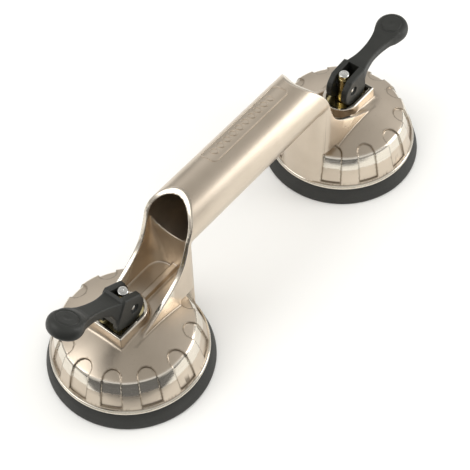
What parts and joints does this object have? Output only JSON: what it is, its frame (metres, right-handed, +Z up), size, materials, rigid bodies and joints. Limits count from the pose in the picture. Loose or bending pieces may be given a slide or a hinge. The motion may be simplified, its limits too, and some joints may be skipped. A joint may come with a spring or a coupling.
{
  "type": "vacuum suction cup lifter",
  "caption": "Twin vacuum suction lifter: tubular carrying handle cast in one with domed, fluted cups, each with a rubber pad drawn up by a cam lever.",
  "frame": {"origin": "on the floor, under the middle of the object's bounding box", "axes": "+X along the handle from cup A to cup B, +Z up, away from the glass"},
  "size_m": [0.3678, 0.114, 0.1175],
  "materials": {
    "cast_nickel": "satin warm nickel over a die casting, edges ground bright",
    "rubber": "matte moulded",
    "lever_plastic": "fine moulded grain",
    "zinc_yellow": "yellow zinc plating",
    "bright_steel": "bright turned steel",
    "spring_steel": "oiled spring wire",
    "bronze": "sintered bearing bronze"
  },
  "bodies": {
    "root": {"body_casting": "cast_nickel", "suction_pad_a": "rubber", "guide_bush_a": "bronze", "spring_seat_washer_a": "bright_steel", "cam_plate_a": "zinc_yellow", "release_spring_a": "spring_steel", "suction_pad_b": "rubber", "guide_bush_b": "bronze", "spring_seat_washer_b": "bright_steel", "cam_plate_b": "zinc_yellow", "release_spring_b": "spring_steel"},
    "stud_a": {"pull_stud_a": "zinc_yellow", "insert_plate_a": "bright_steel", "stud_nut_a": "bright_steel", "pivot_pin_a": "bright_steel"},
    "lever_a": {"cam_lever_a": "lever_plastic"},
    "stud_b": {"pull_stud_b": "zinc_yellow", "insert_plate_b": "bright_steel", "stud_nut_b": "bright_steel", "pivot_pin_b": "bright_steel"},
    "lever_b": {"cam_lever_b": "lever_plastic"}
  },
  "joints": [
    {"name": "stud_slide_a", "type": "slide", "parent": "root", "child": "stud_a", "axis": [0, 0, 1], "range_m": [-0.00281, 0.001], "deforming": ["release_spring_a", "suction_pad_a"]},
    {"name": "lever_hinge_a", "type": "hinge", "parent": "stud_a", "child": "lever_a", "pos_m": [-0.12244, 0, 0.06341], "axis": [0, 1, 0], "range_deg": [-22, 62]},
    {"name": "stud_slide_b", "type": "slide", "parent": "root", "child": "stud_b", "axis": [0, 0, 1], "range_m": [-0.0038, 0], "deforming": ["release_spring_b", "suction_pad_b"]},
    {"name": "lever_hinge_b", "type": "hinge", "parent": "stud_b", "child": "lever_b", "pos_m": [0.11356, 0, 0.0644], "axis": [0, -1, 0], "range_deg": [0, 84]}
  ],
  "couplings": [
    {"joint": "stud_slide_a", "follows": "lever_hinge_a", "m_per_rad": -0.0025919},
    {"joint": "stud_slide_b", "follows": "lever_hinge_b", "m_per_rad": -0.0025919}
  ]
}
